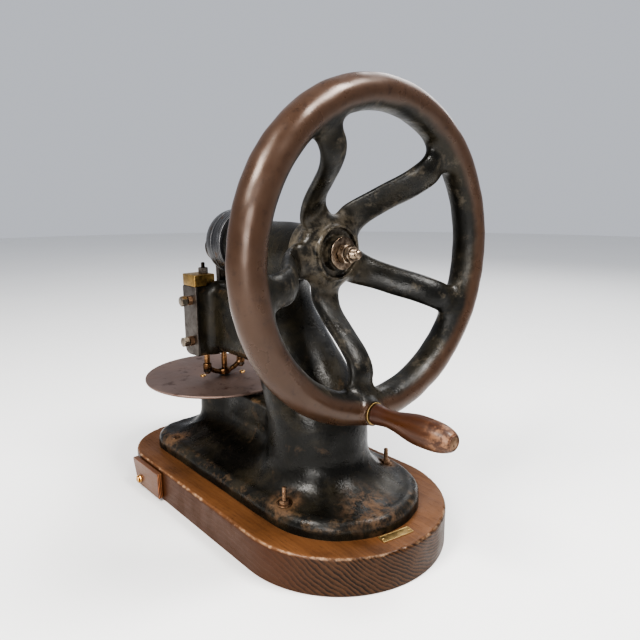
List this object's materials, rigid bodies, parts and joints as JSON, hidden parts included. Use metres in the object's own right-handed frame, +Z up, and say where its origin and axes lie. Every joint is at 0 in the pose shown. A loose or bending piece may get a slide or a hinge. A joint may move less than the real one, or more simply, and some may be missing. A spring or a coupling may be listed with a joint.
{
  "type": "hand-cranked bench punching machine",
  "caption": "Hand-cranked bench machine with a spoked flywheel, crank-driven ram, sprung foot and round table on a cast C-frame and wooden base with a drawer.",
  "frame": {"origin": "on the standing surface, under the middle of the machine's bounding box", "axes": "+X along the shaft towards the flywheel and handle, -Y towards the operator's side with the drawer, +Z up"},
  "size_m": [0.613, 0.4, 0.5769],
  "materials": {
    "base_wood": "old varnish, worn edges",
    "drawer_wood": "dark varnish",
    "tray_wood": "bare, dull",
    "grip_wood": "polished by use",
    "black_casting": "worn black paint on cast iron",
    "wheel_iron": "brown polished rim, worn black paint inside",
    "crank_iron": "glossy blue-black",
    "table_steel": "dark brown patina",
    "dark_steel": "oiled",
    "plate_steel": "dull grey",
    "turned_steel": "dull, a little brown",
    "hub_iron": "brown, worn bright at the edges",
    "rusty_steel": "brown rust",
    "cap_brass": "dull brass",
    "screw_brass": "worn bright",
    "bush_bronze": "oiled bronze",
    "foot_bronze": "brown bronze",
    "mark_brass": "tarnished, blank",
    "spring_steel": "oiled"
  },
  "bodies": {
    "frame": {"wooden_base": "base_wood", "frame_casting": "black_casting", "base_studs": "rusty_steel", "base_washers": "rusty_steel", "base_nuts": "rusty_steel", "base_screws": "rusty_steel", "nameplate": "mark_brass", "nameplate_pins": "screw_brass", "front_bush": "bush_bronze", "rear_bush": "bush_bronze", "table_disc": "table_steel", "table_collar": "dark_steel", "table_screws": "screw_brass", "die_insert": "dark_steel", "side_plate": "plate_steel", "plate_screws": "turned_steel", "plate_locknuts": "rusty_steel", "operator_cap": "cap_brass", "rear_cap": "cap_brass", "foot_springs": "spring_steel"},
    "flywheel": {"flywheel": "wheel_iron", "shaft": "hub_iron", "crank_disc": "crank_iron", "crank_disc_pin": "turned_steel", "crank_pin": "turned_steel", "shaft_key": "turned_steel", "hub_washer": "hub_iron", "hub_nut": "hub_iron", "lock_nut": "hub_iron", "handle_spindle": "rusty_steel", "handle_washer": "screw_brass"},
    "handle": {"handle_grip": "grip_wood"},
    "pitman": {"pitman": "dark_steel", "wrist_pin": "turned_steel"},
    "ram": {"ram_slide": "dark_steel", "ram_rod": "foot_bronze", "punch": "plate_steel"},
    "foot": {"foot_rods": "foot_bronze", "foot_yoke": "foot_bronze", "foot_nuts": "dark_steel", "rod_top_nuts": "plate_steel"},
    "drawer": {"drawer_tray": "tray_wood", "drawer_front": "drawer_wood", "drawer_knob": "screw_brass"}
  },
  "joints": [
    {"name": "wheel_spin", "type": "hinge", "parent": "frame", "child": "flywheel", "pos_m": [0, 0, 0.377], "axis": [1, 0, 0], "continuous": true},
    {"name": "handle_spin", "type": "hinge", "parent": "flywheel", "child": "handle", "pos_m": [0.25, -0.02505, 0.19875], "axis": [1, 0, 0], "continuous": true},
    {"name": "pitman_pivot", "type": "hinge", "parent": "flywheel", "child": "pitman", "pos_m": [-0.1715, 0, 0.373], "axis": [1, 0, 0], "continuous": true},
    {"name": "ram_travel", "type": "slide", "parent": "frame", "child": "ram", "axis": [0, 0, 1], "range_m": [0, 0.008]},
    {"name": "foot_lift", "type": "slide", "parent": "frame", "child": "foot", "axis": [0, 0, 1], "range_m": [0, 0.006], "stiffness_N_per_m": 1500, "springref_m": -0.006, "deforming": ["foot_springs"]},
    {"name": "drawer_slide", "type": "slide", "parent": "frame", "child": "drawer", "axis": [0, -1, 0], "range_m": [0, 0.06]}
  ],
  "couplings": [
    {"joint": "pitman_pivot", "follows": "wheel_spin", "ratio": -1}
  ]
}
